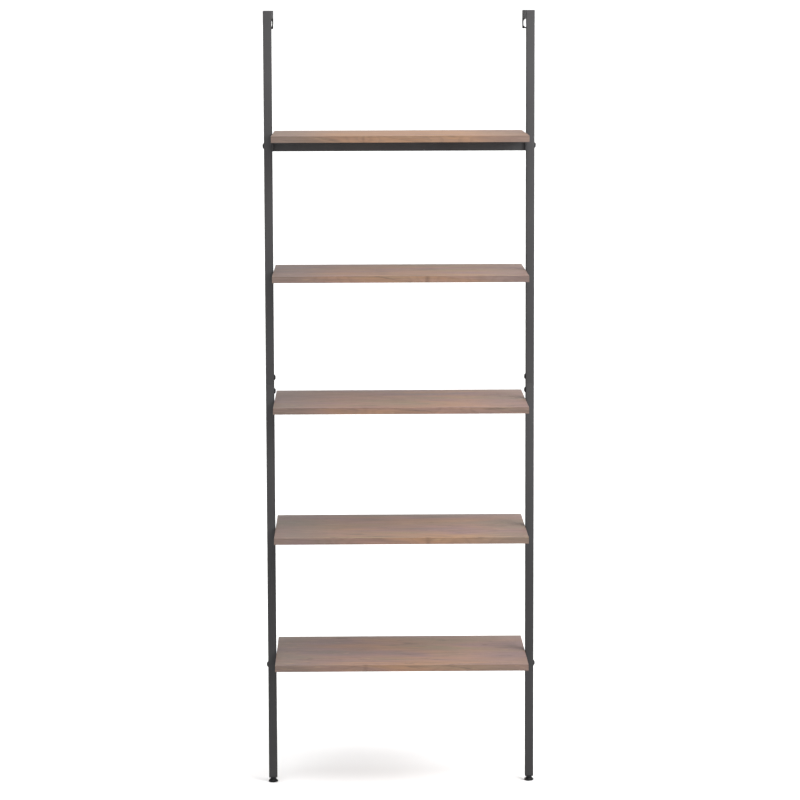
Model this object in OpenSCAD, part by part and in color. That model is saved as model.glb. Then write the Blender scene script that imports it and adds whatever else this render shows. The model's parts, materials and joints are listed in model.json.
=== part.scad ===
// Ladder shelf. Five boards hang between two square posts. Each post stands on one
// levelling foot, and an arm mitred to its top reaches back to the wall.
// Origin on the floor at the middle of the plan. +X to the right, +Y to the wall, +Z up.
// All sizes are in millimetres.

/* [Overall] */
// Height from the floor to the top of the posts and wall arms
height = 1855; // [1840:5:2000]
// Width over the two posts
width = 640; // [500:10:900]
// Depth from the front edge of the boards to the wall
depth = 350; // [300:10:400]

/* [Boards] */
// Thickness of a board
board_thickness = 15; // [12:1:20]
// Gap between the end of a board and the post beside it
board_end_gap = 1; // [0.5:0.5:3]
// Height of the top face of the lowest board
first_board_top = 322; // [300:1:340]
// Rise from board 1 to board 2
rise_1 = 304; // [290:1:320]
// Rise from board 2 to board 3
rise_2 = 308; // [290:1:310]
// Rise from board 3 to board 4
rise_3 = 308; // [290:1:320]
// Rise from board 4 to board 5, the top board
rise_4 = 325; // [290:1:330]

/* [Posts and rails] */
// Side of the square tube of the posts and wall arms
tube_side = 20; // [20:1:25]
// Wall thickness of every tube
tube_wall = 1.5; // [1.2:0.1:2]
// Outer corner radius of every tube
tube_corner = 2; // [1.8:0.1:3]
// Height of the tube of the rail under the lowest board
bottom_rail_height = 30; // [20:1:30]
// Height of the tube of the rail under the top board
top_rail_height = 25; // [20:1:30]
// Height of the joint between the lower and the upper half of a post
post_joint_z = 970.5; // [965:0.5:990]
// Length of the sleeve inside that joint
sleeve_length = 90; // [70:5:120]
// Height of each joint bolt above or below the joint
joint_bolt_offset = 16; // [12:0.5:20]

/* [Shelf arms] */
// Width of the flat bar under each end of a board
arm_width = 30; // [25:1:40]
// Length of that bar from front to back
arm_length = 290; // [240:10:290]
// Thickness of the bar and its tab
arm_thickness = 2; // [2:0.5:4]
// Corner radius of the bar
arm_corner = 5; // [2:1:10]
// Length from front to back of the tab that stands against the post
tab_length = 40; // [30:1:60]
// Height of the tab where no rail meets it
short_tab = 12; // [8:1:14]
// Distance from each end of the bar to its wood screw
screw_inset = 35; // [20:1:60]

/* [Wall fixing] */
// Thickness of the plate at the end of each wall arm
plate_thickness = 3; // [2:0.5:4]
// Width of the slot for the wall screw
slot_width = 14; // [8:1:14]
// Height of that slot, end to end
slot_height = 20; // [15:1:30]
// Width of metal left around the slot
slot_rim = 3; // [2:0.5:4]

/* [Feet] */
// Widest diameter of the foot pad
pad_diameter = 23; // [20:1:28]
// Height of the foot pad
pad_height = 7.5; // [7:0.5:10]
// Width across the flats of the hexagon that turns the stud
hex_flats = 13; // [12:1:15]
// Height of the hexagon
hex_height = 4.2; // [4:0.1:6]
// Diameter of the stud
stud_diameter = 8; // [6:1:8]
// Length of the stud above the hexagon
stud_length = 29; // [26:1:40]

/* [Hidden] */
SIDES = ["left", "right"];
BOARDS = 5;

powder_coat = "#39383a";
decor_wood = "#9d877b";
black_plastic = "#1f1f20";
dark_zinc = "#2c2b2c";
bare_steel = "#8d8f92";

board_top = [
    first_board_top,
    first_board_top + rise_1,
    first_board_top + rise_1 + rise_2,
    first_board_top + rise_1 + rise_2 + rise_3,
    first_board_top + rise_1 + rise_2 + rise_3 + rise_4
];
inner_half = width / 2 - tube_side;
post_x = width / 2 - tube_side / 2;
wall_y = depth / 2;

// Corner arcs are drawn with this many straight steps each
corner_steps = 4;
slide_gap = 0.1;
thread_gap = 0.05;
// How far a cutting shape runs past the face that it cuts
overrun = 1;

flange = 2;
insert_depth = 25;
plug_corner = 1;
seat_gap = 0.3;
post_bottom = pad_height + hex_height + seat_gap + flange;
bore_side = tube_side - 2 * tube_wall;
plug_side = bore_side - 2 * slide_gap;

bolt_radius = 3;
bolt_hole = 3.2;
bolt_head_radius = 6.8;
bolt_head_height = 3.4;
bolt_head_rim = 0.8;
bolt_head_flat = 3.4;
bolt_socket_flats = 4;
bolt_socket_depth = 2;
nut_flats = 10;
nut_height = 5;
sleeve_side = bore_side - 2 * slide_gap;
sleeve_wall = 2;
sleeve_corner = 1.5;
joint_bolt_length = tube_wall + slide_gap + sleeve_wall + nut_height;
end_plate = 4;
rail_bolt_spare = 3;
rail_bolt_length = tube_side + arm_thickness + end_plate + rail_bolt_spare;

screw_radius = 1.75;
screw_hole = 2.3;
screw_head_radius = 4;
screw_head_top = 3;
screw_head_height = 2.5;
// Wood left above the tip of a screw, and above the hole that it turns in
screw_tip_cover = 4;
pilot_cover = 3.5;
screw_depth = board_thickness - screw_tip_cover;
screw_y = arm_length / 2 - screw_inset;
screw_x = inner_half - arm_width / 2;

ball_radius = 5;
ball_bottom = 2.2;
ball_top = 4.6;
neck_radius = 3.5;
// The pad is rounded off below its widest band and tapers above it
pad_band_bottom = 1.8;
pad_band_top = 3.2;
pad_floor_radius = pad_diameter / 2 - 2;
pad_top_radius = pad_diameter / 2 - 3.3;

// Metal between the underside of the wall arm and the top of the slot
slot_drop = 1;
plate_height = tube_side + slot_drop + slot_height + slot_rim;
slot_centre_z = height - tube_side - slot_drop - slot_height / 2;

function board_bottom(n) = board_top[n - 1] - board_thickness;
function arm_bottom(n) = board_bottom(n) - arm_thickness;
function rail_height(n) = n == 1 ? bottom_rail_height : top_rail_height;
function rail_centre(n) = arm_bottom(n) - rail_height(n) / 2;
// The lowest and the highest board have a rail under them
function has_rail(n) = n == 1 || n == BOARDS;

function arc(x, y, r, start) = [
    for (k = [0 : corner_steps])
        [x + r * cos(start + 90 * k / corner_steps), y + r * sin(start + 90 * k / corner_steps)]
];

// A rectangle with round corners, centred on the origin
module rounded_rect(w, h, r) {
    polygon(concat(
        arc(w / 2 - r, h / 2 - r, r, 0),
        arc(r - w / 2, h / 2 - r, r, 90),
        arc(r - w / 2, r - h / 2, r, 180),
        arc(w / 2 - r, r - h / 2, r, 270)
    ));
}

module tube(w, h, length) {
    linear_extrude(length)
        difference() {
            rounded_rect(w, h, tube_corner);
            rounded_rect(w - 2 * tube_wall, h - 2 * tube_wall, tube_corner - tube_wall);
        }
}

// The right side is drawn, and the left side is its mirror image
module on_side(side) {
    if (side == "right") children();
    else mirror([1, 0, 0]) children();
}

// Keeps what lies on one side of the mitre at the top of a post: its "post" or its "arm" side
module mitred(side) {
    reach = tube_side;
    upper = height + reach - tube_side / 2;
    lower = height - reach - tube_side / 2;
    intersection() {
        children();
        translate([inner_half - overrun, 0, 0])
            rotate([90, 0, 90])
                linear_extrude(tube_side + 2 * overrun)
                    polygon(side == "post"
                        ? [[-reach, upper], [-reach, 0], [reach, 0], [reach, lower]]
                        : [[-reach, upper], [reach, lower], [depth, lower], [depth, upper]]);
    }
}

// A round hole along X through whatever lies between x0 and x1
module hole_along_x(x0, x1, z, r) {
    translate([x0, 0, z]) rotate([0, 90, 0]) cylinder(r = r, h = x1 - x0, $fn = 40);
}

// A flanged button-head bolt with its head's seat at the origin and its shank along +Z
module bolt(length) {
    // The crown is a sphere through the top of the rim and the edge of the flat
    rise = bolt_head_height - bolt_head_rim;
    below = (bolt_head_radius ^ 2 - bolt_head_flat ^ 2 - rise ^ 2) / (2 * rise);
    crown = sqrt(bolt_head_radius ^ 2 + below ^ 2);
    difference() {
        union() {
            cylinder(r = bolt_radius, h = length, $fn = 40);
            mirror([0, 0, 1])
                intersection() {
                    cylinder(r = bolt_head_radius, h = bolt_head_height, $fn = 48);
                    translate([0, 0, bolt_head_rim - below]) sphere(r = crown, $fn = 64);
                }
        }
        translate([0, 0, -bolt_head_height - overrun])
            cylinder(d = bolt_socket_flats / cos(30), h = bolt_socket_depth + overrun, $fn = 6);
    }
}

module nut() {
    difference() {
        cylinder(d = nut_flats / cos(30), h = nut_height, $fn = 6);
        translate([0, 0, -overrun])
            cylinder(r = bolt_radius + thread_gap, h = nut_height + 2 * overrun, $fn = 40);
    }
}

module post_lower() {
    color(powder_coat)
        difference() {
            translate([post_x, 0, post_bottom])
                tube(tube_side, tube_side, post_joint_z - post_bottom);
            hole_along_x(inner_half - overrun, width / 2 + overrun, rail_centre(1), bolt_hole);
            hole_along_x(inner_half - overrun, post_x, post_joint_z - joint_bolt_offset, bolt_hole);
        }
}

module post_upper() {
    color(powder_coat)
        difference() {
            mitred("post")
                translate([post_x, 0, post_joint_z])
                    tube(tube_side, tube_side, height - post_joint_z);
            hole_along_x(inner_half - overrun, width / 2 + overrun, rail_centre(BOARDS), bolt_hole);
            hole_along_x(inner_half - overrun, post_x, post_joint_z + joint_bolt_offset, bolt_hole);
        }
}

// The sleeve slides into both halves of a post and the joint bolts clamp it
module post_sleeve() {
    color(bare_steel)
        difference() {
            translate([post_x, 0, post_joint_z - sleeve_length / 2])
                linear_extrude(sleeve_length)
                    difference() {
                        rounded_rect(sleeve_side, sleeve_side, sleeve_corner);
                        square(sleeve_side - 2 * sleeve_wall, center = true);
                    }
            for (dz = [-joint_bolt_offset, joint_bolt_offset])
                hole_along_x(inner_half, post_x, post_joint_z + dz, bolt_hole);
        }
}

module sleeve_nuts() {
    seat = post_x - sleeve_side / 2 + sleeve_wall;
    color(bare_steel)
        for (dz = [-joint_bolt_offset, joint_bolt_offset])
            translate([seat, 0, post_joint_z + dz]) rotate([0, 90, 0]) nut();
}

module post_joint_bolts() {
    color(dark_zinc)
        for (dz = [-joint_bolt_offset, joint_bolt_offset])
            translate([inner_half, 0, post_joint_z + dz]) rotate([0, 90, 0]) bolt(joint_bolt_length);
}

module wall_arm() {
    color(powder_coat)
        mitred("arm")
            translate([post_x, -tube_side / 2, height - tube_side / 2])
                rotate([-90, 0, 0])
                    tube(tube_side, tube_side, wall_y - plate_thickness + tube_side / 2);
}

module wall_plate() {
    straight = slot_height - slot_width;
    color(powder_coat)
        difference() {
            translate([post_x, wall_y, height - plate_height / 2])
                rotate([90, 0, 0])
                    linear_extrude(plate_thickness)
                        rounded_rect(tube_side, plate_height, tube_corner);
            translate([post_x, wall_y + overrun, slot_centre_z])
                rotate([90, 0, 0]) {
                    for (side = [-1, 1])
                        translate([0, side * straight / 2, 0])
                            cylinder(d = slot_width, h = plate_thickness + 2 * overrun, $fn = 48);
                    translate([-slot_width / 2, -straight / 2, 0])
                        cube([slot_width, straight, plate_thickness + 2 * overrun]);
                }
        }
}

// A flat bar under the end of a board, with a tab down against the post
module shelf_arm(n) {
    tab = has_rail(n) ? rail_height(n) : short_tab;
    color(powder_coat)
        difference() {
            union() {
                translate([inner_half - arm_width / 2, 0, arm_bottom(n)])
                    linear_extrude(arm_thickness) rounded_rect(arm_width, arm_length, arm_corner);
                translate([inner_half - arm_thickness, -tab_length / 2, arm_bottom(n) - tab])
                    cube([arm_thickness, tab_length, tab + arm_thickness]);
            }
            if (has_rail(n))
                hole_along_x(inner_half - arm_thickness - overrun, inner_half + overrun,
                             rail_centre(n), bolt_hole);
            for (y = [-screw_y, screw_y])
                translate([screw_x, y, arm_bottom(n) - overrun])
                    cylinder(r = screw_hole, h = arm_thickness + 2 * overrun, $fn = 32);
        }
}

module shelf_board(n) {
    length = 2 * (inner_half - board_end_gap);
    color(decor_wood)
        difference() {
            translate([-length / 2, -depth / 2, board_bottom(n)])
                cube([length, depth, board_thickness]);
            for (x = [-screw_x, screw_x], y = [-screw_y, screw_y])
                translate([x, y, board_bottom(n) - overrun])
                    cylinder(r = screw_radius + thread_gap,
                             h = board_thickness - pilot_cover + overrun, $fn = 32);
        }
}

// Four pan-head wood screws, driven up through the arms into a board
module shelf_screws(n) {
    color(dark_zinc)
        for (x = [-screw_x, screw_x], y = [-screw_y, screw_y])
            translate([x, y, arm_bottom(n)]) {
                cylinder(r = screw_radius, h = arm_thickness + screw_depth, $fn = 32);
                mirror([0, 0, 1])
                    cylinder(r1 = screw_head_radius, r2 = screw_head_top,
                             h = screw_head_height, $fn = 32);
            }
}

module rail(n) {
    half = inner_half - arm_thickness;
    color(powder_coat)
        translate([-half, 0, rail_centre(n)])
            rotate([90, 0, 90]) tube(tube_side, rail_height(n), 2 * half);
}

// A tapped plate in each end of a rail, which takes the rail bolt
module rail_end_plates(n) {
    color(bare_steel)
        for (side = SIDES)
            on_side(side)
                difference() {
                    translate([inner_half - arm_thickness - end_plate, 0, rail_centre(n)])
                        rotate([90, 0, 90])
                            linear_extrude(end_plate)
                                rounded_rect(plug_side,
                                             rail_height(n) - tube_side + plug_side, plug_corner);
                    hole_along_x(inner_half - arm_thickness - end_plate - overrun, inner_half,
                                 rail_centre(n), bolt_radius + thread_gap);
                }
}

module rail_bolts(n) {
    color(dark_zinc)
        for (side = SIDES)
            on_side(side)
                translate([width / 2, 0, rail_centre(n)]) rotate([0, -90, 0]) bolt(rail_bolt_length);
}

// A plug in the post's open end, tapped for the stud of the foot
module foot_insert() {
    color(black_plastic)
        translate([post_x, 0, post_bottom])
            difference() {
                union() {
                    translate([0, 0, -flange])
                        linear_extrude(flange) rounded_rect(tube_side, tube_side, tube_corner);
                    linear_extrude(insert_depth) rounded_rect(plug_side, plug_side, plug_corner);
                }
                translate([0, 0, -flange - overrun])
                    cylinder(d = stud_diameter + 2 * thread_gap,
                             h = insert_depth + flange + 2 * overrun, $fn = 48);
            }
}

// The stud turns in the pad, which a round head below its neck keeps on
module foot_stud() {
    hex_radius = hex_flats / 2 / cos(30);
    hex_bottom = pad_height + seat_gap;
    // Cones that take the corners off the hexagon's two ends
    cone_top = hex_flats / 2 + hex_height / tan(30);
    color(dark_zinc)
        translate([post_x, 0, 0]) {
            translate([0, 0, ball_bottom])
                cylinder(r = ball_radius, h = ball_top - ball_bottom, $fn = 48);
            translate([0, 0, ball_bottom])
                cylinder(r = neck_radius, h = hex_bottom + hex_height / 2 - ball_bottom, $fn = 48);
            translate([0, 0, hex_bottom])
                intersection() {
                    cylinder(r = hex_radius, h = hex_height, $fn = 6);
                    cylinder(r1 = hex_flats / 2, r2 = cone_top, h = hex_height, $fn = 64);
                    cylinder(r1 = cone_top, r2 = hex_flats / 2, h = hex_height, $fn = 64);
                }
            translate([0, 0, hex_bottom + hex_height / 2])
                cylinder(d = stud_diameter, h = hex_height / 2 + stud_length, $fn = 48);
        }
}

module foot_pad() {
    color(black_plastic)
        translate([post_x, 0, 0])
            difference() {
                rotate_extrude($fn = 72)
                    polygon([
                        [0, 0],
                        [pad_floor_radius, 0],
                        [pad_diameter / 2, pad_band_bottom],
                        [pad_diameter / 2, pad_band_top],
                        [pad_top_radius, pad_height],
                        [0, pad_height]
                    ]);
                translate([0, 0, ball_bottom - seat_gap])
                    cylinder(r = ball_radius + thread_gap,
                             h = ball_top - ball_bottom + 2 * seat_gap, $fn = 48);
                translate([0, 0, ball_bottom])
                    cylinder(r = neck_radius + thread_gap, h = pad_height, $fn = 48);
            }
}

for (s = SIDES) {
    on_side(s) post_lower();
    on_side(s) post_upper();
    on_side(s) post_sleeve();
    on_side(s) sleeve_nuts();
    on_side(s) post_joint_bolts();
    on_side(s) wall_arm();
    on_side(s) wall_plate();
    on_side(s) foot_insert();
    on_side(s) foot_stud();
    on_side(s) foot_pad();
}
for (s = SIDES, n = [1 : BOARDS])
    on_side(s) shelf_arm(n);
for (n = [1 : BOARDS]) {
    shelf_board(n);
    shelf_screws(n);
}
rail(1);  // bottom_rail
rail(BOARDS);  // top_rail
rail_end_plates(1);  // bottom_rail_end_plates
rail_end_plates(BOARDS);  // top_rail_end_plates
rail_bolts(1);  // bottom_rail_bolts
rail_bolts(BOARDS);  // top_rail_bolts
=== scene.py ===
"""Looks of the ladder shelf: materials, rounded tubes, boards with edge bands, fasteners, welds and feet.

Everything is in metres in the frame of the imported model: +X to the right, +Y to the wall, +Z up.
"""

import json
import math
import random

import bmesh
import bpy
from mathutils import Matrix, Vector

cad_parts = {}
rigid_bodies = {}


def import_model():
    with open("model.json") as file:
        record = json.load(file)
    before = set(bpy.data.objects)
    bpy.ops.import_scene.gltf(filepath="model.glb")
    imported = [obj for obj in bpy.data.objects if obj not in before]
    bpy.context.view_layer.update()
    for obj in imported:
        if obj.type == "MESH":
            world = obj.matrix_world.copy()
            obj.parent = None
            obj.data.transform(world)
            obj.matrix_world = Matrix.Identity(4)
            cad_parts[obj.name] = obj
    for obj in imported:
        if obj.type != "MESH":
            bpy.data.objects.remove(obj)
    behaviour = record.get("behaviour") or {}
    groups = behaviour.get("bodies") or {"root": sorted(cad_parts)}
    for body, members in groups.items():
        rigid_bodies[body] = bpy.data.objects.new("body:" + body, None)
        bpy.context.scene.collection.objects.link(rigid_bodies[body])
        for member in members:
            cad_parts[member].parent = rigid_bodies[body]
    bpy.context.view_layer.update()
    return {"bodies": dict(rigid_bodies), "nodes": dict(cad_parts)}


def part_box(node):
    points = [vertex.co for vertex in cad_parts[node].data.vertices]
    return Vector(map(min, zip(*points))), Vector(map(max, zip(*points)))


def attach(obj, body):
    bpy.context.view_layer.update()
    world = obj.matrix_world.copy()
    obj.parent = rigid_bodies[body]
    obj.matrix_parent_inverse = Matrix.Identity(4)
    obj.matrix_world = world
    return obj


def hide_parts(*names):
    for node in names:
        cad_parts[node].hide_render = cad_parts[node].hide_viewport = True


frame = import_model()

MM = 0.001
SIDES = {"left": -1, "right": 1}
BOARDS = range(1, 6)
RAILS = {"bottom_rail": 1, "top_rail": 5}
X, Y, Z = Vector((1, 0, 0)), Vector((0, 1, 0)), Vector((0, 0, 1))
# A distance to the closest knot that leaves no trace, on a print without knots
NO_KNOT = 1.0
random.seed(31)


# ---------------------------------------------------------------- materials

class Look:
    """A node material, with a short call for each kind of node that the materials share."""

    def __init__(self, name, **constants):
        self.material = bpy.data.materials.new(name)
        self.material.use_nodes = True
        self.nodes = self.material.node_tree.nodes
        self.links = self.material.node_tree.links
        self.shader = self.nodes["Principled BSDF"]
        for socket, value in constants.items():
            self.shader.inputs[socket.replace("_", " ")].default_value = value

    def add(self, kind, inputs=(), output=0, **settings):
        """Adds a node, sets it up, and returns one of its outputs."""
        node = self.nodes.new("ShaderNode" + kind)
        for key, value in settings.items():
            setattr(node, key, value)
        for key, value in dict(inputs).items():
            if isinstance(value, bpy.types.NodeSocket):
                self.links.new(value, node.inputs[key])
            else:
                node.inputs[key].default_value = value
        return node.outputs[output]

    def place(self):
        return self.add("TexCoord", output="Object")

    def dot(self, vector, direction):
        return self.add("VectorMath", {0: vector, 1: direction}, "Value", operation="DOT_PRODUCT")

    def stretch(self, vector, scale):
        return self.add("VectorMath", {0: vector, 1: scale}, operation="MULTIPLY")

    def noise(self, vector, detail=2.0, roughness=0.5, distortion=0.0):
        return self.add("TexNoise", {"Vector": vector, "Scale": 1.0, "Detail": detail,
                                     "Roughness": roughness, "Distortion": distortion})

    def math(self, operation, a, b=0.0):
        return self.add("Math", {0: a, 1: b}, operation=operation)

    def ramp_value(self, value, low, high, to_low=0.0, to_high=1.0):
        """Runs smoothly from to_low at low to to_high at high."""
        return self.add("MapRange", {0: value, 1: low, 2: high, 3: to_low, 4: to_high},
                        interpolation_type="SMOOTHSTEP")

    def ramp_colour(self, factor, stops):
        output = self.add("ValToRGB", {0: factor})
        elements = output.node.color_ramp.elements
        while len(elements) < len(stops):
            elements.new(0.5)
        for element, (position, colour) in zip(elements, stops):
            element.position = position
            element.color = (*colour, 1.0)
        return output

    def mix(self, factor, a, b, mode="MIX"):
        colours = [c if isinstance(c, bpy.types.NodeSocket) else (*c, 1.0) for c in (a, b)]
        return self.add("Mix", {0: factor, 6: colours[0], 7: colours[1]}, 2,
                        data_type="RGBA", blend_type=mode)

    def bump(self, height, depth):
        return self.add("Bump", {"Height": height, "Distance": depth, "Strength": 1.0})

    def edges(self, radius):
        """1 on an edge narrower than radius, and 0 on a flat face."""
        soft = self.add("Bevel", {"Radius": radius}, samples=4)
        true = self.add("NewGeometry", output="Normal")
        along = self.add("VectorMath", {0: soft, 1: true}, "Value", operation="DOT_PRODUCT")
        return self.ramp_value(along, 0.999, 0.9)

    def wear(self, **sockets):
        """Links the outputs to the shader's sockets."""
        for name, output in sockets.items():
            self.links.new(output, self.shader.inputs[name.replace("_", " ")])
        return self.material


def knot_distance(look, place, knots):
    """How near the closest knot is, in metres, with the knots long in the grain's direction."""
    near = NO_KNOT
    for x, y in knots:
        away = look.add("VectorMath", {0: place, 1: (x, y, 0)}, operation="SUBTRACT")
        away = look.stretch(away, (0.75, 1.5, 0))
        away = look.add("VectorMath", {0: away}, "Value", operation="LENGTH")
        near = look.math("MINIMUM", near, away)
    wobble = look.noise(look.stretch(place, (140, 140, 140)), 2)
    ragged = look.math("MULTIPLY", look.math("SUBTRACT", wobble, 0.5), 5 * MM)
    return look.math("ADD", near, ragged)


def painted_shading_and_front_masks(look, place):
    """How strong the painted shade is at the left and right ends and the painted light at the back, and how
    near the front edge is.
    """
    sideways, backwards = look.dot(place, X), look.dot(place, Y)
    left = look.ramp_value(sideways, -0.40 * board_half, -0.95 * board_half)
    right = look.ramp_value(sideways, 0.45 * board_half, board_half, 0.0, 0.85)
    back = look.ramp_value(backwards, 0.35 * board_depth, 0.5 * board_depth)
    front = look.ramp_value(backwards, -0.30 * board_depth, -0.48 * board_depth)
    return left, right, back, front


def ground_colour(look, grain):
    """The slow change of the wood's colour from one zone to the next."""
    return look.ramp_colour(grain(2.6, 9.0, 3, 0.5, 0.5), [
        (0.30, (0.190, 0.150, 0.134)),
        (0.41, (0.250, 0.156, 0.154)),
        (0.50, (0.292, 0.180, 0.140)),
        (0.59, (0.250, 0.177, 0.127)),
        (0.70, (0.232, 0.192, 0.120))])


def growth_rings(look, grain, near):
    """The dark part of each ring: level lines of a slow field, which swells round the knots."""
    swell = look.ramp_value(near, 0.0, 45 * MM, 0.16, 0.0)
    field = look.math("ADD", grain(1.1, 8.0, 3, 0.45, 0.35), swell)
    ring = look.math("FRACT", look.math("MULTIPLY", field, 12.0))
    return look.ramp_value(ring, 0.45, 0.97)


def warm_share(look, grain, shading_and_front_masks, orange):
    """How much of the warm colour shows: in patches and along the front, less under the painted shade at the
    ends and the painted light at the back.
    """
    left, right, back, front = shading_and_front_masks
    patches = look.ramp_value(grain(3.4, 16.0, 3, 0.5, 0.3), 0.44, 0.66, 0.0, 0.60)
    warm = look.math("ADD", look.math("ADD", patches, look.math("MULTIPLY", front, 0.28)), orange)
    # Painted shade at both ends and painted light at the back hold back the warm colour
    painted_shading = look.math("MAXIMUM", look.math("MULTIPLY", look.math("MAXIMUM", left, right), 0.8), back)
    return look.math("MULTIPLY", warm, look.math("SUBTRACT", 1.0, painted_shading))


def decor_wood(name, along, across, knots, orange=0.0, tint=(1.0, 1.0, 1.0)):
    """Printed wood decor. along and across are the directions of the grain and across it.

    knots are the plan places of the small dark knots that the grain bends round, and orange is
    how much warmer this print is.
    """
    look = Look(name, IOR=1.45, Specular_IOR_Level=0.35)
    place = look.place()
    flat = look.add("CombineXYZ", {0: look.dot(place, along), 1: look.dot(place, across)})

    def grain(per_metre_along, per_metre_across, *character):
        return look.noise(look.stretch(flat, (per_metre_along, per_metre_across, 0)), *character)

    near = knot_distance(look, place, knots)
    # Masks of the painted shade at the ends, the painted light at the back, and the front edge
    shading_and_front_masks = painted_shading_and_front_masks(look, place)
    left, right, back = shading_and_front_masks[:3]
    marks = grain(12, 40, 4, 0.6, 0.6)
    fibre = grain(16, 520, 3, 0.6)
    pores = grain(40, 1300, 2)
    layers = [
        # Warm patches, then painted shade in darker grey at the left and right ends and painted light in
        # lighter grey at the back
        (warm_share(look, grain, shading_and_front_masks, orange), (0.345, 0.196, 0.108)),
        (look.math("MULTIPLY", left, 0.52), (0.138, 0.130, 0.138)),
        (look.math("MULTIPLY", right, 0.52), (0.130, 0.104, 0.114)),
        (look.math("MULTIPLY", back, 0.55), (0.235, 0.196, 0.176)),
        # Rings, streaks, and dark and light marks
        (look.math("MULTIPLY", growth_rings(look, grain, near), 0.22), (0.115, 0.076, 0.058)),
        (look.ramp_value(grain(11, 190, 3, 0.55), 0.36, 0.62, 0.34, 0.0), (0.125, 0.088, 0.070)),
        (look.ramp_value(marks, 0.58, 0.68, 0.0, 0.58), (0.110, 0.078, 0.062)),
        (look.ramp_value(marks, 0.36, 0.26, 0.0, 0.45), (0.420, 0.300, 0.200)),
        # Pale fibre and flecks, dark pores, and the hearts of the knots
        (look.ramp_value(fibre, 0.38, 0.72, 0.0, 0.26), (0.380, 0.290, 0.225)),
        (look.ramp_value(grain(17, 130, 3, 0.6), 0.62, 0.70, 0.0, 0.50), (0.430, 0.310, 0.180)),
        (look.ramp_value(pores, 0.60, 0.72, 0.0, 0.36), (0.080, 0.052, 0.040)),
        (look.ramp_value(near, 2.5 * MM, 8.0 * MM, 0.62, 0.0), (0.090, 0.056, 0.040))]
    colour = ground_colour(look, grain)
    for share, shade in layers:
        colour = look.mix(share, colour, shade)
    colour = look.mix(1.0, colour, tint, "MULTIPLY")

    pore = look.ramp_value(pores, 0.60, 0.72)
    relief = look.math("SUBTRACT", look.math("MULTIPLY", fibre, 0.4), pore)
    rough = look.math("ADD", look.ramp_value(fibre, 0.3, 0.7, 0.52, 0.64), look.math("MULTIPLY", pore, 0.12))
    return look.wear(Base_Color=colour, Roughness=rough, Normal=look.bump(relief, 0.06 * MM))


def powder_coat(name, shade_factor=1.0):
    """Black powder coat with a fine leathery texture, a little brighter where edges are rubbed.

    It has painted shade: darker towards the floor and towards the wall. A shade factor below 1 paints shade
    over all of it.
    """
    look = Look(name, IOR=1.5, Specular_IOR_Level=0.12)
    place = look.place()
    skin = look.noise(look.stretch(place, (900, 900, 900)), 3, 0.6)
    orange_peel = look.noise(look.stretch(place, (230, 230, 230)), 2)
    dust = look.noise(look.stretch(place, (7, 7, 3)), 4, 0.6)
    dusty = look.ramp_value(dust, 0.35, 0.68, 0.0, 0.55)
    colour = look.mix(dusty, (0.038, 0.037, 0.038), (0.050, 0.049, 0.050))
    rub = look.math("MULTIPLY", look.edges(0.7 * MM), look.ramp_value(dust, 0.45, 0.65, 0.12, 0.55))
    colour = look.mix(rub, colour, (0.085, 0.083, 0.082))
    # Painted shade: darker towards the floor, and darker towards the wall behind the posts
    shade = look.ramp_value(look.dot(place, Z), 0.0, 1.4, 0.74 * shade_factor, 1.05 * shade_factor)
    shade = look.math("MULTIPLY", shade, look.ramp_value(look.dot(place, Y), 0.0, 0.12, 1.0, 0.5))
    colour = look.mix(1.0, colour, look.add("CombineXYZ", {0: shade, 1: shade, 2: shade}), "MULTIPLY")
    rough = look.ramp_value(skin, 0.3, 0.7, 0.70, 0.86)
    height = look.math("ADD", look.math("MULTIPLY", skin, 0.5), look.math("MULTIPLY", orange_peel, 0.8))
    return look.wear(Base_Color=colour, Roughness=rough, Normal=look.bump(height, 0.05 * MM))


def black_plastic(name):
    """Moulded black plastic with a fine spark-eroded grain."""
    look = Look(name, IOR=1.48, Specular_IOR_Level=0.2)
    place = look.place()
    grain = look.noise(look.stretch(place, (1600, 1600, 1600)), 2)
    patch = look.noise(look.stretch(place, (60, 60, 60)), 3)
    colour = look.mix(patch, (0.003, 0.003, 0.003), (0.006, 0.006, 0.007))
    scuff = look.math("MULTIPLY", look.edges(0.5 * MM), look.ramp_value(patch, 0.4, 0.6, 0.1, 0.5))
    colour = look.mix(scuff, colour, (0.035, 0.035, 0.035))
    rough = look.ramp_value(grain, 0.3, 0.7, 0.42, 0.60)
    return look.wear(Base_Color=colour, Roughness=rough, Normal=look.bump(grain, 0.04 * MM))


def plated_steel(name, dark, light, roughness):
    """Plated steel with fine turning marks and a little patchiness."""
    look = Look(name, Metallic=1.0)
    place = look.place()
    patch = look.noise(look.stretch(place, (180, 180, 180)), 3)
    marks = look.noise(look.stretch(place, (3000, 900, 900)), 2)
    colour = look.mix(patch, dark, light)
    bright = look.math("MULTIPLY", look.edges(0.35 * MM), 0.6)
    colour = look.mix(bright, colour, tuple(min(1.0, 2.2 * c) for c in light))
    rough = look.ramp_value(marks, 0.3, 0.7, roughness - 0.06, roughness + 0.1)
    return look.wear(Base_Color=colour, Roughness=rough, Normal=look.bump(marks, 0.01 * MM))


# The board's size in plan, which the print follows
board_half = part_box("shelf_board_1")[1].x
board_depth = 2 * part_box("shelf_board_1")[1].y
# How far the print shifts from one board to the next, per metre of height
PRINT_SHIFT = 5.3
# The print on each board: its knots' places in plan, how much warmer it is, and its tint
PRINTS = [
    ([(-0.085, -0.171), (0.118, -0.168), (0.205, 0.060)], 0.0, (0.915, 0.892, 0.882)),
    ([(-0.160, -0.169), (0.062, -0.172), (0.185, -0.170), (0.075, 0.045)], 0.0, (0.908, 0.888, 0.878)),
    ([(-0.085, -0.171), (0.118, -0.168), (0.205, 0.060)], 0.5, (0.98, 0.92, 0.84))]
PRINT_OF_BOARD = {1: 0, 2: 1, 3: 0, 4: 1, 5: 2}
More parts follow.
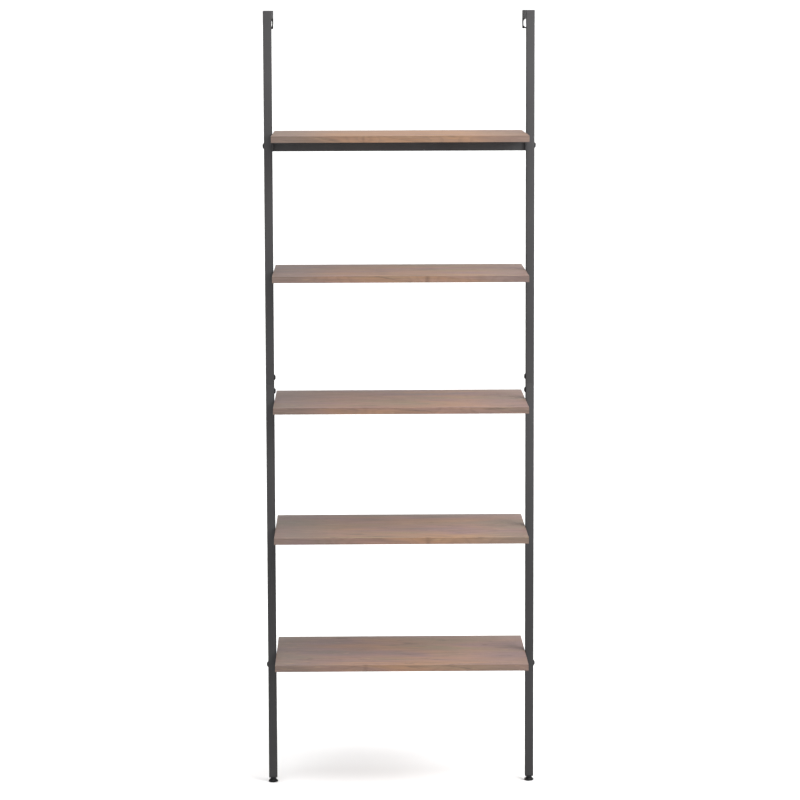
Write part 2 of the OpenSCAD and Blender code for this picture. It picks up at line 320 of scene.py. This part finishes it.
# Painted shade: the boards' long edges are coloured darker than their faces, against the stronger light that
# falls on the front edges
EDGE_PAINTED_SHADE = (0.545, 0.520, 0.505)
WOOD_TOP, WOOD_FRONT, WOOD_END = [], [], []
ALONG_FACE, ALONG_END = (1, 0, PRINT_SHIFT), (0.1, 1, PRINT_SHIFT)
ACROSS_FACE, ACROSS_EDGE, ACROSS_END = (0, 1, 0.9), (0, 0.2, 1.4), (0, 0, 1.4)
for number, (knots, orange, tint) in enumerate(PRINTS):
    face, edge, end = (f"decor_wood_{part}_{number}" for part in ("face", "long_edge", "short_edge"))
    WOOD_TOP.append(decor_wood(face, ALONG_FACE, ACROSS_FACE, knots, orange, tint))
    WOOD_FRONT.append(decor_wood(edge, ALONG_FACE, ACROSS_EDGE, knots, orange, EDGE_PAINTED_SHADE))
    WOOD_END.append(decor_wood(end, ALONG_END, ACROSS_END, [], orange))
COAT = powder_coat("powder_coat_black")
# Painted shade: a copy of the coat at 0.4 brightness, for the wall plates in the shade near the wall
SHADED_COAT = powder_coat("powder_coat_painted_shade", 0.4)
PLASTIC = black_plastic("moulded_black_plastic")
DARK_ZINC = plated_steel("black_zinc_plate", (0.014, 0.014, 0.015), (0.030, 0.030, 0.032), 0.40)
PLAIN_STEEL = plated_steel("bright_zinc_plate", (0.42, 0.43, 0.45), (0.56, 0.57, 0.58), 0.32)


# ---------------------------------------------------------------- mesh tools

def at(origin, x_axis=X, y_axis=Y):
    """The matrix that puts a local drawing in the row frame, its z axis along x_axis cross y_axis."""
    z_axis = x_axis.cross(y_axis)
    turn = Matrix((x_axis, y_axis, z_axis)).transposed().to_4x4()
    return Matrix.Translation(Vector(origin)) @ turn


def piece(name, mesh, material, body, stands_for=()):
    """Makes a mesh in the row frame a piece of the shelf."""
    mesh.materials.clear()
    mesh.materials.append(material)
    mesh.shade_smooth()
    mesh.set_sharp_from_angle(angle=math.radians(32))
    obj = bpy.data.objects.new(name, mesh)
    bpy.context.scene.collection.objects.link(obj)
    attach(obj, body)
    if stands_for:
        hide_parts(*stands_for)
    return obj


def rounded_rect(width, height, radius, x=0.0, y=0.0, steps=6):
    """Points round a rectangle with round corners: a circle or a slot where the radius is half a side."""
    points = []
    for corner, (sx, sy) in enumerate(((1, 1), (-1, 1), (-1, -1), (1, -1))):
        for k in range(steps + 1):
            a = math.radians(90 * (corner + k / steps))
            points.append((x + sx * (width / 2 - radius) + radius * math.cos(a),
                           y + sy * (height / 2 - radius) + radius * math.sin(a)))
    return points


def slab(outer, thickness, bevel, place, holes=(), steps=6):
    """A mesh of an extruded outline with bevelled rims.

    outer is (width, height, corner radius), and each hole has its centre's x and y as well.
    The drawing lies from z 0 to thickness before place moves it.
    """
    curve = bpy.data.curves.new("outline", "CURVE")
    curve.dimensions = "2D"
    curve.fill_mode = "BOTH"
    curve.extrude = thickness / 2 - bevel
    curve.bevel_depth = bevel
    curve.bevel_resolution = 2
    width, height, radius = outer
    smallest = 0.02 * MM
    loops = [rounded_rect(width - 2 * bevel, height - 2 * bevel, max(radius - bevel, smallest), steps=steps)]
    for w, h, r, x, y in holes:
        loops.append(rounded_rect(w + 2 * bevel, h + 2 * bevel, r + bevel, x, y, steps))
    for loop in loops:
        spline = curve.splines.new("POLY")
        spline.points.add(len(loop) - 1)
        for point, (x, y) in zip(spline.points, loop):
            point.co = (x, y, 0, 1)
        spline.use_cyclic_u = True
    holder = bpy.data.objects.new("outline", curve)
    bpy.context.scene.collection.objects.link(holder)
    made = bpy.data.meshes.new_from_object(holder.evaluated_get(bpy.context.evaluated_depsgraph_get()))
    bpy.data.objects.remove(holder)
    bpy.data.curves.remove(curve)
    made.transform(place @ Matrix.Translation((0, 0, thickness / 2)))
    return clean(made)


def clean(mesh):
    """Merges doubled points and points every face outwards."""
    bm = bmesh.new()
    bm.from_mesh(mesh)
    bmesh.ops.remove_doubles(bm, verts=bm.verts, dist=0.002 * MM)
    bmesh.ops.dissolve_degenerate(bm, edges=bm.edges, dist=0.001 * MM)
    bmesh.ops.recalc_face_normals(bm, faces=bm.faces)
    bm.to_mesh(mesh)
    bm.free()
    return mesh


def joined(*meshes):
    """One mesh made of several."""
    bm = bmesh.new()
    for mesh in meshes:
        bm.from_mesh(mesh)
    out = bpy.data.meshes.new("joined")
    bm.to_mesh(out)
    bm.free()
    return out


def loft(rings, place):
    """A mesh through rings of points, each ring with the same number of points, closed at both ends."""
    bm = bmesh.new()
    rows = [[bm.verts.new(p) for p in ring] for ring in rings]
    for low, high in zip(rows, rows[1:]):
        for k in range(len(low)):
            n = (k + 1) % len(low)
            bm.faces.new((low[k], low[n], high[n], high[k]))
    bm.faces.new(rows[0][::-1])
    bm.faces.new(rows[-1])
    bmesh.ops.recalc_face_normals(bm, faces=bm.faces)
    mesh = bpy.data.meshes.new("loft")
    bm.to_mesh(mesh)
    bm.free()
    mesh.transform(place)
    return mesh


def polygon_radius(sides, flats):
    """The radius of a regular polygon at an angle, by its width across the flats."""
    half = math.pi / sides
    return lambda a: flats / 2 / math.cos((a + half) % (2 * half) - half)


def cross_radius(reach, half_width):
    """The radius of a cross at an angle."""
    def radius(a):
        c, s = abs(math.cos(a)), abs(math.sin(a))
        c, s = max(c, s), min(c, s)
        return min(reach / c, half_width / max(s, 1e-6))
    return radius


def turned(profile, place, segments=48):
    """A mesh turned about z. Each entry of the profile is (z, radius or a function of the angle)."""
    rings = []
    for z, radius in profile:
        ring = []
        for k in range(segments):
            a = 2 * math.pi * k / segments
            r = radius(a) if callable(radius) else radius
            ring.append((r * math.cos(a), r * math.sin(a), z))
        rings.append(ring)
    return loft(rings, place)


# ---------------------------------------------------------------- sizes, from the frame

def size_of(node):
    low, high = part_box(node)
    return high - low


def middle_of(node):
    low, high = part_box(node)
    return (low + high) / 2


tube = size_of("post_lower_left").x
# Wall thickness and outer corner radius of the tubes, and the rounding of every sawn or punched rim
WALL, CORNER, RIM = 1.5 * MM, 2 * MM, 0.3 * MM
# Thickness of the shelf arms, and of the boards' edge bands
ARM_SHEET = 2 * MM
BAND = 0.8 * MM


# ---------------------------------------------------------------- boards


def board(n):
    """A faced board with four glued edge bands, each a piece of its own."""
    node = f"shelf_board_{n}"
    low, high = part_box(node)
    size, middle = size_of(node), middle_of(node)
    core = slab((size.x - 2 * BAND, size.y - 2 * BAND, 0.1 * MM), size.z, 0.12 * MM,
                at((middle.x, middle.y, low.z)), steps=2)
    number = PRINT_OF_BOARD[n]
    piece(f"board_{n}_face", core, WOOD_TOP[number], "frame", [node])
    for end, y in (("front", low.y), ("back", high.y - BAND)):
        band = slab((size.x, size.z, 0.5 * MM), BAND, 0.35 * MM,
                    at((middle.x, y + BAND, middle.z), X, Z), steps=3)
        piece(f"board_{n}_band_{end}", band, WOOD_FRONT[number], "frame")
    for end, x in (("left", low.x), ("right", high.x - BAND)):
        band = slab((size.y - 2 * BAND, size.z, 0.5 * MM), BAND, 0.35 * MM,
                    at((x, middle.y, middle.z), Y, Z), steps=3)
        piece(f"board_{n}_band_{end}", band, WOOD_END[number], "frame")


# ---------------------------------------------------------------- tubes and plates

def tube_mesh(node, axis):
    """A square tube with round corners along one axis, as large as its CAD node."""
    size, middle = size_of(node), middle_of(node)
    order = {"X": (Y, Z), "Y": (Z, X), "Z": (X, Y)}[axis]
    along = order[0].cross(order[1])
    width, height = (size.dot(a) for a in order)
    start = middle - along * (size.dot(along) / 2)
    return slab((width, height, CORNER), size.dot(along), RIM, at(start, *order),
                [(width - 2 * WALL, height - 2 * WALL, CORNER - WALL, 0, 0)])


def straight_tube(name, node, axis):
    piece(name, tube_mesh(node, axis), COAT, "frame", [node])


def cut(mesh, point, normal):
    """Takes away what lies past a plane, on the side that its normal points to, and closes the cut."""
    bm = bmesh.new()
    bm.from_mesh(mesh)
    made = bmesh.ops.bisect_plane(bm, geom=bm.verts[:] + bm.edges[:] + bm.faces[:], dist=0.001 * MM,
                                  plane_co=point, plane_no=normal, clear_outer=True)
    rim = [e for e in made["geom_cut"] if isinstance(e, bmesh.types.BMEdge)]
    bmesh.ops.triangle_fill(bm, use_beauty=True, edges=rim, normal=normal)
    bm.to_mesh(mesh)
    bm.free()
    return mesh


def mitred_corner(side):
    """The upper post and the wall arm, cut at 45 degrees where they meet, with their welds."""
    post, arm = f"post_upper_{side}", f"wall_arm_{side}"
    low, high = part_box(arm)
    outer = Vector((0, low.y, high.z))
    inner = Vector((0, low.y + tube, high.z - tube))
    past = (Y + Z).normalized()
    piece(f"upper_post_{side}", cut(tube_mesh(post, "Z"), outer, past), COAT, "frame", [post])
    piece(f"top_arm_{side}", cut(tube_mesh(arm, "Y"), outer, -past), COAT, "frame", [arm])
    # The welds stop short of the tube's corners
    inset, fillet, thin_fillet = 1.5 * MM, 1.8 * MM, 0.8 * MM
    for face, x, out in (("inner", low.x, -X), ("outer", high.x, X)):
        start = Vector((x, outer.y + inset, outer.z - inset))
        end = Vector((x, inner.y - inset, inner.z + inset))
        seam(f"mitre_seam_{side}_{face}", start, end, past, out)
    left, right = low.x + inset, high.x - inset
    bead(f"mitre_weld_{side}", (left, inner.y, inner.z), (right, inner.y, inner.z), Y, -Z, fillet)
    bead(f"plate_weld_{side}", (left, high.y, inner.z), (right, high.y, inner.z), -Y, -Z, thin_fillet)


def shelf_arm(n, side):
    """A flat bar with screw holes and a bent tab, in place of its CAD node."""
    node = f"shelf_arm_{n}_{side}"
    low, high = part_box(node)
    outwards = SIDES[side]
    size, middle = size_of(node), middle_of(node)
    hole, inset, corner = 4.6 * MM, 35 * MM, 5 * MM
    tab_length, tab_corner, bend_radius, lip = 40 * MM, 1.5 * MM, 1.5 * MM, 0.5 * MM
    holes = [(hole, hole, hole / 2, 0, y * (size.y / 2 - inset)) for y in (-1, 1)]
    under = high.z - ARM_SHEET
    bar = slab((size.x, size.y, corner), ARM_SHEET, RIM, at((middle.x, middle.y, under)), holes)
    face = high.x if outwards > 0 else low.x
    inside = face - outwards * ARM_SHEET
    tab = slab((tab_length, size.z - lip, tab_corner), ARM_SHEET, RIM,
               at((min(face, inside), middle.y, middle.z - lip / 2), Y, Z))
    bend = fold((inside, middle.y, under), -X * outwards, -Z, tab_length - 2 * RIM, bend_radius)
    piece(f"arm_{n}_{side}", joined(bar, tab, bend), COAT, "frame", [node])


def fold(corner, out_a, out_b, length, radius):
    """The round inside of a bend along Y, in the corner between two faces."""
    corner = Vector(corner)
    rings = []
    for end in (-0.5, 0.5):
        centre = corner + Y * (end * length)
        ring = [centre - (out_a + out_b) * 0.3 * radius]
        for k in range(7):
            a = math.pi / 2 * k / 6
            ring.append(centre + out_a * radius * (1 - math.sin(a)) + out_b * radius * (1 - math.cos(a)))
        rings.append(ring)
    return loft(rings, Matrix.Identity(4))


def wall_plate(side):
    """The plate that is screwed to the wall, with its slot below the arm."""
    node = f"wall_plate_{side}"
    size, middle = size_of(node), middle_of(node)
    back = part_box(node)[1].y
    slot_width, slot_height, slot_foot = 14 * MM, 20 * MM, 3 * MM
    slot_centre = -size.z / 2 + slot_foot + slot_height / 2
    mesh = slab((size.x, size.z, CORNER), size.y, RIM, at((middle.x, back, middle.z), X, Z),
                [(slot_width, slot_height, slot_width / 2, 0, slot_centre)], 12)
    # Painted shade: the plate wears the darkened copy of the coat
    piece(f"plate_{side}", mesh, SHADED_COAT, "frame", [node])


def bead(name, start, end, out_a, out_b, radius):
    """A weld bead in the corner between two faces, whose outward directions are out_a and out_b."""
    start, end = Vector(start), Vector(end)
    along = end - start
    length = along.length
    along.normalize()
    ripple = 1.4 * MM
    steps = max(8, int(length / ripple * 4))
    phase = random.random()
    rings = []
    for k in range(steps + 1):
        t = k / steps
        taper = math.sqrt(max(0.0, 1 - abs(2 * t - 1) ** 6)) * 0.85 + 0.15
        wave = 1 + 0.10 * math.cos(2 * math.pi * (t * length / ripple + phase)) + random.uniform(-0.03, 0.03)
        r = radius * taper * wave
        centre = start.lerp(end, t)
        ring = [centre - (out_a + out_b) * 0.2 * radius]
        for j in range(9):
            a = math.pi / 2 * j / 8
            ring.append(centre + out_a * r * math.cos(a) + out_b * r * math.sin(a))
        rings.append(ring)
    piece(name, loft(rings, Matrix.Identity(4)), COAT, "frame")


def seam(name, start, end, across, out):
    """A weld that was ground nearly flush with the face whose outward direction is out."""
    half_width, proud = 1.7 * MM, 0.22 * MM
    rings = []
    steps = 16
    for k in range(steps + 1):
        t = k / steps
        taper = 0.35 + 0.65 * math.sqrt(max(0.0, 1 - abs(2 * t - 1) ** 4))
        centre = start.lerp(end, t)
        width = half_width * taper * random.uniform(0.85, 1.1)
        ring = [centre - out * 0.3 * MM]
        for j in range(9):
            a = math.pi * j / 8
            ring.append(centre + across * width * math.cos(a) + out * proud * taper * (math.sin(a) - 0.1))
        rings.append(ring)
    piece(name, loft(rings, Matrix.Identity(4)), COAT, "frame")


def arm_welds(n, side):
    """Two upright beads between a shelf arm's tab and its post."""
    low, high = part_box(f"shelf_arm_{n}_{side}")
    outwards = SIDES[side]
    face = high.x if outwards > 0 else low.x
    inset, fillet = 0.5 * MM, 1.6 * MM
    bottom, top = low.z + inset, high.z - inset
    for end, y in (("front", -1), ("back", 1)):
        post_face = y * tube / 2
        bead(f"weld_{n}_{side}_{end}", (face, post_face, bottom), (face, post_face, top),
             X * outwards, Y * y, fillet)


# ---------------------------------------------------------------- fasteners and feet

def bolt(seat, outwards, radius, height, length):
    """A flanged button-head bolt with a hexagon socket and a plain shank, its head outside the seat."""
    shank, rim, flat, socket_flats, socket_depth = 3 * MM, 0.8 * MM, 3.4 * MM, 4 * MM, 2 * MM
    rise = height - rim
    below = (radius ** 2 - flat ** 2 - rise ** 2) / (2 * rise)
    crown = math.hypot(radius, below)
    soft = 0.15 * MM
    hexagon = polygon_radius(6, socket_flats)
    profile = [(-length, shank * 0.75), (-length + 0.7 * MM, shank), (-0.01 * MM, shank),
               (0, radius - soft), (soft, radius), (rim - soft, radius)]
    for k in range(9):
        r = radius - soft + (flat - radius + soft) * k / 8
        profile.append((rim - below + math.sqrt(crown ** 2 - r ** 2), r))
    profile += [(height, lambda a: hexagon(a) + 0.3 * MM), (height - 0.25 * MM, hexagon),
                (height - socket_depth, hexagon), (height - socket_depth - 0.4 * MM, 0.3 * MM)]
    side_axis = Y if outwards.x else X
    return turned(profile, at(seat, side_axis, outwards.cross(side_axis)))


def rail_bolts(rail):
    node = f"{rail}_bolts"
    low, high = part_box(node)
    radius = (high.z - low.z) / 2
    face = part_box("post_lower_right")[1].x
    height, length = high.x - face, 30 * MM
    meshes = [bolt((s * face, 0, low.z + radius), X * s, radius, height, length) for s in SIDES.values()]
    piece(f"{rail}_bolt_pair", joined(*meshes), DARK_ZINC, "frame", [node])


def joint_bolts(side):
    node = f"post_joint_bolts_{side}"
    low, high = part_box(node)
    outwards = -SIDES[side]
    face = middle_of(f"post_lower_{side}").x + outwards * tube / 2
    radius = (high.y - low.y) / 2
    crown = low.x if outwards < 0 else high.x
    length = 8 * MM
    meshes = [bolt((face, 0, z), X * outwards, radius, abs(crown - face), length)
              for z in (low.z + radius, high.z - radius)]
    piece(f"joint_bolts_{side}", joined(*meshes), DARK_ZINC, "frame", [node])


def board_screws(n):
    """Four pan-head screws with a cross recess under a board."""
    node = f"shelf_screws_{n}"
    low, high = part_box(node)
    head_radius, head_height, shank = 4 * MM, 2.5 * MM, 1.7 * MM
    seat = low.z + head_height
    reach = high.z - seat
    recess = cross_radius(2.1 * MM, 0.45 * MM)
    profile = [(-reach, 0.3 * MM), (-reach + 2 * MM, shank), (-0.01 * MM, shank),
               (0, head_radius * 0.96), (0.3 * MM, head_radius), (0.9 * MM, head_radius)]
    for k in range(1, 7):
        a = math.radians(90 * k / 7)
        profile.append((0.9 * MM + (head_height - 0.9 * MM) * math.sin(a),
                        head_radius * (0.55 + 0.45 * math.cos(a))))
    profile += [(head_height, lambda a: recess(a) + 0.12 * MM), (head_height - 0.15 * MM, recess),
                (head_height - 1.6 * MM, lambda a: recess(a) * 0.6), (head_height - 2.0 * MM, 0.1 * MM)]
    meshes = []
    for x in (low.x + head_radius, high.x - head_radius):
        for y in (low.y + head_radius, high.y - head_radius):
            twist = random.uniform(0, math.pi)
            turn = Vector((math.cos(twist), math.sin(twist), 0))
            meshes.append(turned(profile, at((x, y, seat), turn, (-Z).cross(turn)), 64))
    piece(f"board_{n}_screws", joined(*meshes), DARK_ZINC, "frame", [node])


def foot_insert(side):
    """The plastic plug in the post's bottom, with a flange as wide as the tube."""
    node = f"foot_insert_{side}"
    low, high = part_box(node)
    x = middle_of(node).x
    flange = 2 * MM
    bore = 8.1 * MM
    hole = [(bore, bore, bore / 2, 0, 0)]
    plug_side = tube - 2 * WALL - 0.2 * MM
    lid = slab((tube, tube, CORNER), flange, 0.35 * MM, at((x, 0, low.z)), hole, 12)
    plug = slab((plug_side, plug_side, 1 * MM), high.z - low.z - flange, 0.2 * MM, at((x, 0, low.z + flange)),
                hole, 12)
    piece(f"insert_{side}", joined(lid, plug), PLASTIC, "frame", [node])


def thread(radius, depth, pitch, start, end):
    """Rings of a right-hand screw thread about z, run out at both ends."""
    segments, rings_per_turn = 36, 8
    rings = []
    steps = int((end - start) / pitch * rings_per_turn)
    for i in range(steps + 1):
        z = start + (end - start) * i / steps
        fade = min(1.0, (z - start) / pitch, (end - z) / pitch)
        ring = []
        for k in range(segments):
            a = 2 * math.pi * k / segments
            phase = (z / pitch - a / (2 * math.pi)) % 1.0
            r = radius - depth * fade * abs(2 * phase - 1)
            ring.append((r * math.cos(a), r * math.sin(a), z))
        rings.append(ring)
    return rings


def foot_stud(side):
    """The stud with its ball, hexagon and thread."""
    node = f"foot_stud_{side}"
    low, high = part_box(node)
    pad_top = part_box(f"foot_pad_{side}")[1].z
    axis = at((middle_of(f"foot_pad_{side}").x, 0, 0))
    ball, neck, corner = 5 * MM, 3.5 * MM, 6.6 * MM
    thread_radius, thread_depth, pitch = 4 * MM, 0.65 * MM, 1.25 * MM
    hexagon = polygon_radius(6, 13 * MM)
    hex_low, hex_high = pad_top + 0.3 * MM, pad_top + 4.5 * MM
    soft, step = 0.5 * MM, 0.01 * MM
    profile = [
        (low.z, ball - 0.6 * MM), (low.z + soft, ball), (low.z + 1.9 * MM, ball),
        (low.z + 2.4 * MM, neck), (hex_low - step, neck),
        (hex_low, lambda a: min(hexagon(a), corner)),
        (hex_low + soft, hexagon), (hex_high - soft, hexagon),
        (hex_high, lambda a: min(hexagon(a), corner)),
        (hex_high + step, thread_radius)]
    body = turned(profile, axis, 72)
    shank = loft(thread(thread_radius, thread_depth, pitch, hex_high, high.z), axis)
    piece(f"stud_{side}", joined(body, shank), DARK_ZINC, f"stud_{side}", [node])


def foot_pad(side):
    """The moulded pad, rounded below its widest band and tapering above it, with a socket for the ball."""
    node = f"foot_pad_{side}"
    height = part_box(node)[1].z
    widest = size_of(node).x / 2
    floor, top = widest - 2 * MM, widest - 3.3 * MM
    outside = [
        (0.0, floor - 0.4 * MM), (0.12 * MM, floor - 0.1 * MM), (0.8 * MM, floor + 0.75 * MM),
        (1.5 * MM, widest - 0.3 * MM), (1.85 * MM, widest - 0.05 * MM), (2.1 * MM, widest),
        (3.0 * MM, widest), (3.25 * MM, widest - 0.15 * MM), (3.45 * MM, widest - 0.4 * MM),
        (height - 0.7 * MM, top + 0.4 * MM), (height - 0.2 * MM, top - 0.05 * MM),
        (height, top - 0.5 * MM)]
    bore, socket = 3.6 * MM, 5.1 * MM
    inside = [
        (height, bore + 0.4 * MM), (height - 0.3 * MM, bore), (5.2 * MM, bore), (5.0 * MM, socket),
        (1.9 * MM, socket), (1.85 * MM, 0.2 * MM)]
    axis = at((middle_of(node).x, 0, 0))
    piece(f"pad_{side}", turned(outside + inside, axis, 96), PLASTIC, f"pad_{side}", [node])


# ---------------------------------------------------------------- the shelf

for n in BOARDS:
    board(n)
    board_screws(n)
    for side in SIDES:
        shelf_arm(n, side)
        if n not in RAILS.values():
            arm_welds(n, side)
for side in SIDES:
    straight_tube(f"lower_post_{side}", f"post_lower_{side}", "Z")
    mitred_corner(side)
    wall_plate(side)
    joint_bolts(side)
    foot_insert(side)
    foot_stud(side)
    foot_pad(side)
for rail in RAILS:
    straight_tube(f"{rail}_tube", rail, "X")
    rail_bolts(rail)

for name, node in frame["nodes"].items():
    if name.startswith(("post_sleeve", "sleeve_nuts")) or name.endswith("end_plates"):
        node.data.materials.clear()
        node.data.materials.append(PLAIN_STEEL)


# ---------------------------------------------------------------- stage, lights and camera

def stage_floor():
    """A plain pale floor, wide enough that its edge is never seen. It gives way to a foot that screws out."""
    half = 400.0
    corners = [(-half, -half, 0), (half, -half, 0), (half, half, 0), (-half, half, 0)]
    mesh = bpy.data.meshes.new("floor")
    mesh.from_pydata(corners, [], [range(4)])
    look = Look("pale_floor", IOR=1.4)
    speckle = look.noise(look.stretch(look.place(), (3, 3, 3)), 4)
    colour = look.mix(speckle, (0.92, 0.92, 0.92), (0.95, 0.95, 0.95))
    rough = look.ramp_value(speckle, 0.3, 0.7, 0.85, 0.95)
    mesh.materials.append(look.wear(Base_Color=colour, Roughness=rough))
    floor = bpy.data.objects.new("floor", mesh)
    bpy.context.scene.collection.objects.link(floor)
    for side in SIDES:
        give = floor.constraints.new("COPY_LOCATION")
        give.target = frame["bodies"][f"pad_{side}"]
        give.use_x = give.use_y = False
        give.use_offset = True


def area_light(name, place, target, size, power):
    light = bpy.data.lights.new(name, "AREA")
    light.shape = "DISK"
    light.size = size
    light.energy = power
    lamp = bpy.data.objects.new(name, light)
    lamp.location = place
    lamp.rotation_euler = (Vector(target) - Vector(place)).to_track_quat("-Z", "Y").to_euler()
    bpy.context.scene.collection.objects.link(lamp)


def sun_light(towards, angle, strength):
    """A very soft sun in the direction towards."""
    light = bpy.data.lights.new("sun", "SUN")
    light.angle = math.radians(angle)
    light.energy = strength
    lamp = bpy.data.objects.new("sun", light)
    lamp.rotation_euler = Vector(towards).to_track_quat("Z", "Y").to_euler()
    bpy.context.scene.collection.objects.link(lamp)


def world_light(sky, horizon):
    """An even sky with a narrow white band where it meets the floor."""
    world = bpy.data.worlds.new("studio")
    world.use_nodes = True
    nodes, links = world.node_tree.nodes, world.node_tree.links
    direction = nodes.new("ShaderNodeTexCoord")
    upwards = nodes.new("ShaderNodeSeparateXYZ")
    band = nodes.new("ShaderNodeMapRange")
    background = nodes["Background"]
    background.inputs["Color"].default_value = (1, 1, 1, 1)
    links.new(direction.outputs["Generated"], upwards.inputs[0])
    links.new(upwards.outputs[2], band.inputs[0])
    for socket, value in enumerate((0.10, 0.22, horizon, sky), 1):
        band.inputs[socket].default_value = value
    links.new(band.outputs[0], background.inputs["Strength"])
    bpy.context.scene.world = world


def camera():
    """A long lens in front of the shelf, level with its top and a little to the left."""
    lens = bpy.data.cameras.new("camera")
    lens.lens = 142.0
    lens.sensor_width = 36.0
    lens.clip_end = 1000.0
    eye = Vector((-0.1055, -7.484, 1.858))
    target = Vector((0.0, 0.0, 0.9307))
    roll = math.radians(-0.18)
    holder = bpy.data.objects.new("camera", lens)
    turn = (target - eye).to_track_quat("-Z", "Y").to_matrix() @ Matrix.Rotation(roll, 3, "Z")
    holder.matrix_world = Matrix.Translation(eye) @ turn.to_4x4()
    bpy.context.scene.collection.objects.link(holder)
    bpy.context.scene.camera = holder


stage_floor()
world_light(0.75, 1.15)
sun_light((0.34, -0.53, 0.78), 95, 3.05)
area_light("key", (1.7, -1.5, 2.4), (0, 0, 1.7), 1.8, 58)
camera()
bpy.context.scene.view_settings.view_transform = "Standard"
